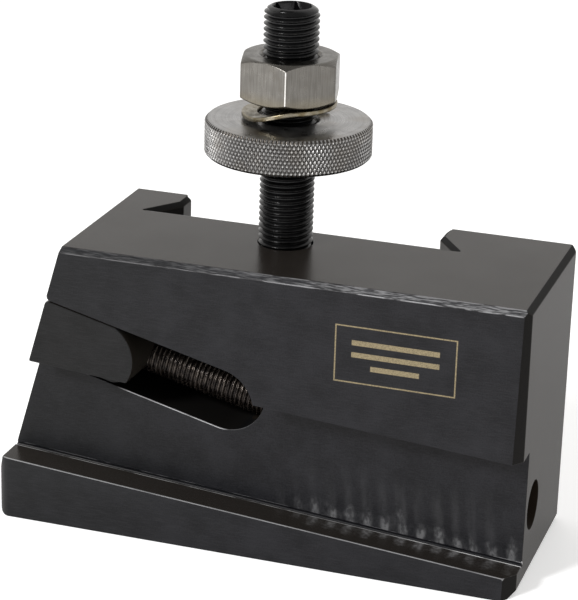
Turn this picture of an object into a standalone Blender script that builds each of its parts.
"""Blade holder for a quick change tool post: a parting blade holder with its
wedge clamp and its height-setting stud.

Frame: metres, +Z up, origin under the middle of the body on its bottom face.
The blade channel faces -Y, the dovetail that fits the tool post faces +Y, and
the clamp screw's head is reached from the +X end.
"""

from math import atan, atan2, cos, pi, radians, sin, sqrt, tan

import bmesh
import bpy
from mathutils import Matrix, Vector

MM = 0.001
GAP = 0.3 * MM                 # clearance between touching pieces

# Body block
LENGTH = 139.7 * MM
DEPTH = 53.9 * MM
HEIGHT = 77.2 * MM
END_TILT = radians(15.6)       # slope of the left end
TOP_LEFT_X = -51.6 * MM
FRONT = -DEPTH / 2
BACK = DEPTH / 2
RIGHT = LENGTH / 2
LEFT = -LENGTH / 2
TOP_CHAMFER = 1.4 * MM
BASE_CHAMFER = 1.6 * MM
BASE_ROUND = 2.8 * MM
FRONT_LEFT_CHAMFER = 2.0 * MM
FRONT_RIGHT_CHAMFER_TOP = 1.5 * MM
FRONT_RIGHT_CHAMFER_BASE = 2.8 * MM
FRONT_RIGHT_CHAMFER_DEPTH = 4.4 * MM
BACK_CHAMFER = 1.5 * MM

# Blade channel, sloping down to the right
BLADE_SLOPE = tan(radians(4.5))
LEDGE_Z = 11.65 * MM            # ledge height at the middle of the body
CHANNEL_HEIGHT = 30.8 * MM
CHANNEL_DEPTH = 9.55 * MM
CHANNEL_BACK = FRONT + CHANNEL_DEPTH

# Wedge slot and clamp screw, side by side on one slope
CLAMP_TILT = radians(14)
CLAMP_DIRECTION = Vector((cos(CLAMP_TILT), 0, -sin(CLAMP_TILT)))
CLAMP_START = Vector((RIGHT, -8.95 * MM, 19.3 * MM))   # where the screw's line leaves the right end
SLOT_RISE = 1.65 * MM          # height of the slot's middle line above the screw's
SLOT_RADIUS = 10.2 * MM
SLOT_END_X = -9.5 * MM
SLOT_BACK = 2.6 * MM
SCREW_RADIUS = 4.9 * MM
SCREW_HOLE_RADIUS = 5.3 * MM
HEAD_RADIUS = 5.85 * MM
HEAD_HEIGHT = 9.0 * MM
HEAD_RECESS = 26.0 * MM        # from the right end to the head's face
HEAD_KEY = 6.0 * MM            # across the flats of its socket
HEAD_KEY_DEPTH = 5.0 * MM
COUNTERBORE_RADIUS = 6.2 * MM
SCREW_LENGTH = 90.0 * MM       # under the head

# Wedge
WEDGE_END_X = -42.2 * MM       # centre of its round end
WEDGE_END_RADIUS = 10.5 * MM
WEDGE_RADIUS = SLOT_RADIUS - GAP
WEDGE_JAW_Z = 40.3 * MM        # height of its jaw's line at the middle of the body
WEDGE_CORNER = 1.1 * MM

# Dovetail for the tool post
DOVETAIL_X = -0.4 * MM
DOVETAIL_FLOOR = 11.15 * MM
DOVETAIL_HALF_FLOOR = 41.45 * MM
DOVETAIL_HALF_THROAT = 35.45 * MM
DOVETAIL_TIP_Y = 20.05 * MM
DOVETAIL_LIP = 1.4 * MM

# Height-setting stud and its nuts, on one upright line
STUD_X = -0.6 * MM
STUD_RADIUS = 7.0 * MM
STUD_HOLE_RADIUS = STUD_RADIUS + GAP
STUD_BASE_Z = 56.0 * MM
STUD_TOP_Z = 138.85 * MM
STUD_CHAMFER = 2.1 * MM
STUD_KEY = 8.8 * MM
STUD_KEY_DEPTH = 8.0 * MM
NUT_BORE = STUD_RADIUS + GAP
THUMB_NUT_RADIUS = 21.2 * MM
THUMB_NUT_Z = (100.7 * MM, 109.9 * MM)
THUMB_NUT_CHAMFER = 0.5 * MM
LOCK_NUT_FLATS = 23.7 * MM
LOCK_NUT_Z = (115.3 * MM, 126.6 * MM)
LOCK_NUT_TURN = radians(-77)   # direction of one corner, in plan
LOCK_NUT_CHAMFER = radians(30)
BORE_CHAMFER = 0.8 * MM
WASHER_OUTER = 12.0 * MM
WASHER_INNER = 8.0 * MM
WASHER_THICKNESS = 1.2 * MM
WASHER_LOW_END = radians(48)     # direction of the split's lower end, in plan
WASHER_TURN = radians(332)
WASHER_BEND = (radians(181), radians(252))   # stretch of the turn where it climbs most

ROUND = 48                     # sides of a large round
SMALL_ROUND = 32
REACH = 0.2                    # longer than the object, for cutters


def clear_scene():
    for scene_object in list(bpy.data.objects):
        bpy.data.objects.remove(scene_object)


def new_collection(name):
    collection = bpy.data.collections.new(name)
    bpy.context.scene.collection.children.link(collection)
    return collection


def make_material(name, colour, roughness, metallic):
    material = bpy.data.materials.new(name)
    material.use_nodes = True
    shader = material.node_tree.nodes["Principled BSDF"]
    shader.inputs["Base Color"].default_value = (*colour, 1)
    shader.inputs["Roughness"].default_value = roughness
    shader.inputs["Metallic"].default_value = metallic
    return material


def link_mesh(name, mesh, collection):
    piece = bpy.data.objects.new(name, mesh)
    collection.objects.link(piece)
    if collection.name == "cutters":
        piece.hide_render = True
        piece.display_type = 'WIRE'
    return piece


def arc(centre, radius, start, end, steps):
    """Points on an arc in a plane, from one angle to another."""
    points = []
    for step in range(steps + 1):
        angle = start + (end - start) * step / steps
        points.append((centre[0] + radius * cos(angle), centre[1] + radius * sin(angle)))
    return points


def extruded(name, outline, low, high, axis, collection):
    """A closed outline made solid along Y (outline in X, Z) or Z (outline in X, Y)."""
    curve = bpy.data.curves.new(name + "_outline", 'CURVE')
    curve.dimensions = '2D'
    curve.fill_mode = 'BOTH'
    curve.extrude = (high - low) / 2
    spline = curve.splines.new('POLY')
    spline.points.add(len(outline) - 1)
    for point, (across, along) in zip(spline.points, outline):
        point.co = (across, along, 0, 1)
    spline.use_cyclic_u = True
    guide = bpy.data.objects.new(name + "_outline", curve)
    bpy.context.scene.collection.objects.link(guide)
    graph = bpy.context.evaluated_depsgraph_get()
    mesh = bpy.data.meshes.new_from_object(guide.evaluated_get(graph))
    bpy.data.objects.remove(guide)
    middle = (low + high) / 2
    if axis == 'Y':
        placed = Matrix.Translation((0, middle, 0)) @ Matrix.Rotation(pi / 2, 4, 'X')
    else:
        placed = Matrix.Translation((0, 0, middle))
    weld_and_place(mesh, placed)
    return link_mesh(name, mesh, collection)


def weld_and_place(mesh, matrix):
    shape = bmesh.new()
    shape.from_mesh(mesh)
    bmesh.ops.remove_doubles(shape, verts=shape.verts, dist=1e-7)
    bmesh.ops.transform(shape, matrix=matrix, verts=shape.verts)
    bmesh.ops.recalc_face_normals(shape, faces=shape.faces)
    shape.to_mesh(mesh)
    shape.free()


def cylinder(name, centre, direction, radius, length, sides, collection, turn=0.0):
    """A cylinder, or a prism with few sides, centred on a point. Upright and unturned, it has
    a corner towards +Y."""
    shape = bmesh.new()
    bmesh.ops.create_cone(shape, cap_ends=True, segments=sides, radius1=radius,
                          radius2=radius, depth=length)
    facing = Vector(direction).to_track_quat('Z', 'Y').to_matrix().to_4x4()
    placed = Matrix.Translation(centre) @ facing @ Matrix.Rotation(turn, 4, 'Z')
    bmesh.ops.transform(shape, matrix=placed, verts=shape.verts)
    mesh = bpy.data.meshes.new(name)
    shape.to_mesh(mesh)
    shape.free()
    return link_mesh(name, mesh, collection)


def turned(name, profile, sides, collection):
    """A profile of (radius, height) points, top to bottom, turned about Z."""
    mesh = bpy.data.meshes.new(name)
    points = [(radius, 0, height) for radius, height in profile]
    edges = [(i, i + 1) for i in range(len(points) - 1)]
    if profile[0][0] > 0:
        edges.append((len(points) - 1, 0))
    mesh.from_pydata(points, edges, [])
    piece = link_mesh(name, mesh, collection)
    screw = piece.modifiers.new("Turn", 'SCREW')
    screw.steps = sides
    screw.render_steps = sides
    screw.use_merge_vertices = True
    screw.merge_threshold = 1e-6
    return piece


def outer_side(point, normal, name, collection):
    """A large block whose near face lies on a plane, to cut what is beyond it."""
    shape = bmesh.new()
    bmesh.ops.create_cube(shape, size=REACH)
    facing = Vector(normal).to_track_quat('Z', 'Y').to_matrix().to_4x4()
    placed = Matrix.Translation(point) @ facing @ Matrix.Translation((0, 0, REACH / 2))
    bmesh.ops.transform(shape, matrix=placed, verts=shape.verts)
    mesh = bpy.data.meshes.new(name)
    shape.to_mesh(mesh)
    shape.free()
    return link_mesh(name, mesh, collection)


def cut(piece, cutter, operation='DIFFERENCE'):
    boolean = piece.modifiers.new(cutter.name, 'BOOLEAN')
    boolean.operation = operation
    boolean.solver = 'EXACT'
    boolean.object = cutter


def clamp_line(x):
    """Height of the clamp screw's line at a place along the body."""
    return CLAMP_START.z + (RIGHT - x) * tan(CLAMP_TILT)


def slot_line(x):
    """Height of the wedge slot's middle line at a place along the body."""
    return clamp_line(x) + SLOT_RISE


def on_clamp_line(distance):
    """A point on the clamp screw's line, measured in from the right end."""
    return CLAMP_START - CLAMP_DIRECTION * distance


def left_end_x(z):
    return TOP_LEFT_X - (HEIGHT - z) * tan(END_TILT)


def body_outline():
    """The body seen from the front, anticlockwise from the bottom left."""
    kink_z = HEIGHT - (TOP_LEFT_X - LEFT) / tan(END_TILT)
    corner = (LEFT + BASE_ROUND, BASE_ROUND)
    outline = arc(corner, BASE_ROUND, pi, 1.5 * pi, 5)
    outline += [(RIGHT - BASE_CHAMFER, 0), (RIGHT, BASE_CHAMFER)]
    outline += [(RIGHT, HEIGHT - TOP_CHAMFER), (RIGHT - TOP_CHAMFER, HEIGHT)]
    outline += [(TOP_LEFT_X, HEIGHT), (LEFT, kink_z)]
    return outline


def channel_outline():
    """The blade channel between the ledge and its sloping roof."""
    ends = (-REACH / 2, REACH / 2)
    floor = [(x, LEDGE_Z - x * BLADE_SLOPE) for x in ends]
    roof = [(x, LEDGE_Z + CHANNEL_HEIGHT - x * BLADE_SLOPE) for x in reversed(ends)]
    return floor + roof


def slot_outline(radius, end_x):
    """A slot along the clamp line with a round right end, open past the left end."""
    centre = (end_x, slot_line(end_x))
    turn = -CLAMP_TILT
    outline = arc(centre, radius, turn - pi / 2, turn + pi / 2, 16)
    away = Vector((-cos(CLAMP_TILT), sin(CLAMP_TILT))) * REACH / 2
    outline.append((outline[-1][0] + away.x, outline[-1][1] + away.y))
    outline.append((outline[0][0] + away.x, outline[0][1] + away.y))
    return outline


def dovetail_outline():
    """The dovetail slot in plan, with a broken edge at each side of its mouth."""
    half = [(DOVETAIL_HALF_FLOOR, DOVETAIL_FLOOR), (DOVETAIL_HALF_THROAT, DOVETAIL_TIP_Y),
            (DOVETAIL_HALF_THROAT, BACK - DOVETAIL_LIP),
            (DOVETAIL_HALF_THROAT + DOVETAIL_LIP + 1 * MM, BACK + 1 * MM)]
    right = [(DOVETAIL_X + x, y) for x, y in half]
    left = [(DOVETAIL_X - x, y) for x, y in reversed(half)]
    return right + left


def chamfer_body(body, cutters):
    """Cut the body's straight edges with sloping planes."""
    front_top = outer_side((0, FRONT + TOP_CHAMFER, HEIGHT), (0, -1, 1), "front_top_chamfer", cutters)
    front_left = outer_side((LEFT + FRONT_LEFT_CHAMFER, FRONT, 0), (-1, -1, 0), "front_left_chamfer",
                            cutters)
    back_left = outer_side((LEFT + BACK_CHAMFER, BACK, 0), (-1, 1, 0), "back_left_chamfer", cutters)
    back_right = outer_side((RIGHT - BACK_CHAMFER, BACK, 0), (1, 1, 0), "back_right_chamfer", cutters)
    base_point = Vector((RIGHT - FRONT_RIGHT_CHAMFER_BASE, FRONT, 0))
    up_edge = Vector((RIGHT - FRONT_RIGHT_CHAMFER_TOP, FRONT, HEIGHT)) - base_point
    base_edge = Vector((RIGHT, FRONT + FRONT_RIGHT_CHAMFER_DEPTH, 0)) - base_point
    front_right = outer_side(base_point, base_edge.cross(up_edge), "front_right_chamfer", cutters)
    for cutter in (front_top, front_left, back_left, back_right, front_right):
        cut(body, cutter)


def make_body(parts, cutters):
    body = extruded("holder_body", body_outline(), FRONT, BACK, 'Y', parts)
    chamfer_body(body, cutters)
    cut(body, extruded("blade_channel", channel_outline(), FRONT - GAP, CHANNEL_BACK, 'Y', cutters))
    slot = slot_outline(SLOT_RADIUS, SLOT_END_X)
    cut(body, extruded("wedge_slot", slot, FRONT - 2 * GAP, SLOT_BACK, 'Y', cutters))
    dovetail = extruded("dovetail_slot", dovetail_outline(), -GAP, HEIGHT + GAP, 'Z', cutters)
    cut(body, dovetail)
    screw_hole = cylinder("screw_hole", on_clamp_line(LENGTH / 3), CLAMP_DIRECTION, SCREW_HOLE_RADIUS,
                          LENGTH / 2, SMALL_ROUND, cutters)
    cut(body, screw_hole)
    bore_depth = HEAD_RECESS + HEAD_HEIGHT + GAP
    outside = 10 * MM
    counterbore = cylinder("counterbore", on_clamp_line((bore_depth - outside) / 2), CLAMP_DIRECTION,
                           COUNTERBORE_RADIUS, bore_depth + outside, ROUND, cutters)
    cut(body, counterbore)
    stud_hole = turned("stud_hole", [
        (0, HEIGHT + GAP), (STUD_HOLE_RADIUS + BORE_CHAMFER + GAP, HEIGHT + GAP),
        (STUD_HOLE_RADIUS, HEIGHT - BORE_CHAMFER), (STUD_HOLE_RADIUS, STUD_BASE_Z - GAP),
        (0, STUD_BASE_Z - GAP)], ROUND, cutters)
    stud_hole.location.x = STUD_X
    cut(body, stud_hole)
    return body


def wedge_outline():
    """The wedge from the front: slot walls, a round right end and the sloping left end."""
    along = CLAMP_DIRECTION
    centre = Vector((WEDGE_END_X, 0, slot_line(WEDGE_END_X)))
    side = Vector((-along.z, 0, along.x)) * WEDGE_RADIUS
    half_angle = atan(WEDGE_RADIUS / sqrt(WEDGE_END_RADIUS ** 2 - WEDGE_RADIUS ** 2))
    turn = -CLAMP_TILT
    outline = arc((centre.x, centre.z), WEDGE_END_RADIUS, turn - half_angle, turn + half_angle, 14)
    top = end_crossing(centre + side)
    bottom = end_crossing(centre - side)
    corner = Vector((tan(END_TILT), 0, 1)).normalized() * WEDGE_CORNER
    top_cut = top + along * WEDGE_CORNER
    outline += [(top_cut.x, top_cut.z), (top.x - corner.x, top.z - corner.z), (bottom.x, bottom.z)]
    return outline


def end_crossing(point):
    """Where a line through a point, along the clamp's direction, meets the left end."""
    slope = tan(CLAMP_TILT)
    end_slope = tan(END_TILT)
    x = (TOP_LEFT_X - end_slope * (HEIGHT - point.z - slope * point.x)) / (1 + end_slope * slope)
    return Vector((x, 0, point.z + (point.x - x) * slope))


def jaw_clearance_outline():
    """The space under the wedge's front half, above the blade."""
    ends = (-REACH / 2, REACH / 2)
    roof = [(x, WEDGE_JAW_Z - x * BLADE_SLOPE) for x in reversed(ends)]
    return [(-REACH / 2, 0), (REACH / 2, 0)] + roof


def make_wedge(parts, cutters):
    wedge = extruded("clamp_wedge", wedge_outline(), FRONT, SLOT_BACK - GAP, 'Y', parts)
    cut(wedge, extruded("jaw_clearance", jaw_clearance_outline(), FRONT - GAP,
                        CHANNEL_BACK, 'Y', cutters))
    cut(wedge, cylinder("wedge_thread", on_clamp_line(LENGTH), CLAMP_DIRECTION, SCREW_RADIUS + GAP,
                        LENGTH, SMALL_ROUND, cutters))
    return wedge


def make_screw(parts, cutters):
    """The clamp screw, modelled about Z with its head up, then laid along its line."""
    shank_chamfer = 0.8 * MM
    head_edge = 0.5 * MM
    screw = turned("clamp_screw", [
        (0, HEAD_HEIGHT), (HEAD_RADIUS - head_edge, HEAD_HEIGHT), (HEAD_RADIUS, HEAD_HEIGHT - head_edge),
        (HEAD_RADIUS, 0), (SCREW_RADIUS, 0), (SCREW_RADIUS, shank_chamfer - SCREW_LENGTH),
        (SCREW_RADIUS - shank_chamfer, -SCREW_LENGTH), (0, -SCREW_LENGTH)], SMALL_ROUND, parts)
    key = cylinder("screw_key", (0, 0, HEAD_HEIGHT), (0, 0, 1), HEAD_KEY / sqrt(3),
                   2 * HEAD_KEY_DEPTH, 6, cutters)
    cut(screw, key)
    lie_along(screw, on_clamp_line(HEAD_RECESS + HEAD_HEIGHT), CLAMP_DIRECTION)
    key.parent = screw
    return screw


def lie_along(piece, place, direction):
    piece.rotation_mode = 'QUATERNION'
    piece.rotation_quaternion = direction.to_track_quat('Z', 'Y')
    piece.location = place


def make_stud(parts, cutters):
    stud = turned("height_stud", [
        (0, STUD_TOP_Z), (STUD_RADIUS - STUD_CHAMFER, STUD_TOP_Z),
        (STUD_RADIUS, STUD_TOP_Z - STUD_CHAMFER / 2), (STUD_RADIUS, STUD_BASE_Z + 1 * MM),
        (STUD_RADIUS - 1 * MM, STUD_BASE_Z), (0, STUD_BASE_Z)], ROUND, parts)
    stud.location.x = STUD_X
    cut(stud, cylinder("stud_key", (STUD_X, 0, STUD_TOP_Z), (0, 0, 1), STUD_KEY / sqrt(3),
                       2 * STUD_KEY_DEPTH, 6, cutters))
    return stud


def ring_profile(inner, outer, low, high, inner_edge, outer_edge):
    """A ring's section with both bore mouths and both rims chamfered."""
    return [(inner + inner_edge, high), (outer - outer_edge, high), (outer, high - outer_edge),
            (outer, low + outer_edge), (outer - outer_edge, low), (inner + inner_edge, low),
            (inner, low + inner_edge), (inner, high - inner_edge)]


def make_thumb_nut(parts):
    low, high = THUMB_NUT_Z
    nut = turned("thumb_nut", ring_profile(NUT_BORE, THUMB_NUT_RADIUS, low, high, BORE_CHAMFER,
                                           THUMB_NUT_CHAMFER), 72, parts)
    nut.location.x = STUD_X
    return nut


def make_lock_nut(parts, cutters):
    low, high = LOCK_NUT_Z
    corner_radius = LOCK_NUT_FLATS / sqrt(3)
    face_radius = LOCK_NUT_FLATS / 2 - 0.3 * MM
    drop = (corner_radius - face_radius) * tan(LOCK_NUT_CHAMFER)
    nut = cylinder("lock_nut", (0, 0, (low + high) / 2), (0, 0, 1), corner_radius, high - low, 6,
                   parts, turn=LOCK_NUT_TURN - pi / 2)
    nut.location.x = STUD_X
    past = 1 * MM
    reach = drop / tan(LOCK_NUT_CHAMFER) + past
    slope = past * tan(LOCK_NUT_CHAMFER)
    blank = turned("nut_blank", [
        (NUT_BORE + BORE_CHAMFER, high), (face_radius, high), (face_radius + reach, high - drop - slope),
        (face_radius + reach, low + drop + slope), (face_radius, low), (NUT_BORE + BORE_CHAMFER, low),
        (NUT_BORE, low + BORE_CHAMFER), (NUT_BORE, high - BORE_CHAMFER)], ROUND, cutters)
    blank.location.x = STUD_X
    cut(nut, blank, 'INTERSECT')
    return nut


def washer_climb(turn):
    """Share of the washer's climb reached at an angle from its lower end."""
    start, end = WASHER_BEND
    share = min(max((turn - start) / (end - start), 0), 1)
    gentle = 0.25 * turn / WASHER_TURN
    return gentle + 0.75 * share * share * (3 - 2 * share)


def make_washer(parts):
    """A split spring washer: a flat ring with a gap, bent so that one end stands high."""
    low = THUMB_NUT_Z[1] + GAP
    climb = LOCK_NUT_Z[0] - THUMB_NUT_Z[1] - 2 * GAP - WASHER_THICKNESS
    section = [(WASHER_INNER, low), (WASHER_OUTER, low), (WASHER_OUTER, low + WASHER_THICKNESS),
               (WASHER_INNER, low + WASHER_THICKNESS)]
    shape = bmesh.new()
    corners = [shape.verts.new((radius, 0, height)) for radius, height in section]
    face = shape.faces.new(corners)
    bmesh.ops.spin(shape, geom=[face], cent=(0, 0, 0), axis=(0, 0, 1), angle=WASHER_TURN, steps=48)
    bmesh.ops.remove_doubles(shape, verts=shape.verts, dist=1e-7)
    for corner in shape.verts:
        turn = atan2(corner.co.y, corner.co.x) % (2 * pi)
        corner.co.z += climb * washer_climb(turn)
    turned_ends = Matrix.Rotation(WASHER_LOW_END, 3, 'Z')
    bmesh.ops.rotate(shape, verts=shape.verts, matrix=turned_ends)
    bmesh.ops.recalc_face_normals(shape, faces=shape.faces)
    mesh = bpy.data.meshes.new("lock_washer")
    shape.to_mesh(mesh)
    shape.free()
    washer = link_mesh("lock_washer", mesh, parts)
    washer.location.x = STUD_X
    return washer


def dress(piece, material):
    piece.data.materials.append(material)
    if piece.name not in ("holder_body", "clamp_wedge", "lock_nut"):
        piece.data.shade_smooth()
        piece.data.set_sharp_from_angle(angle=radians(35))


def build():
    clear_scene()
    parts = new_collection("blade_holder")
    cutters = new_collection("cutters")
    black_oxide = make_material("black_oxide", (0.035, 0.036, 0.042), 0.38, 0.8)
    stud_black = make_material("stud_black", (0.02, 0.02, 0.022), 0.3, 0.8)
    screw_bronze = make_material("screw_bronze", (0.06, 0.045, 0.035), 0.4, 0.8)
    turned_steel = make_material("turned_steel", (0.42, 0.41, 0.39), 0.32, 0.95)
    plated_steel = make_material("plated_steel", (0.45, 0.43, 0.41), 0.35, 0.95)
    yellow_zinc = make_material("yellow_zinc", (0.5, 0.44, 0.3), 0.35, 0.95)
    dress(make_body(parts, cutters), black_oxide)
    dress(make_wedge(parts, cutters), black_oxide)
    dress(make_screw(parts, cutters), screw_bronze)
    dress(make_stud(parts, cutters), stud_black)
    dress(make_thumb_nut(parts), turned_steel)
    dress(make_lock_nut(parts, cutters), plated_steel)
    dress(make_washer(parts), yellow_zinc)


build()
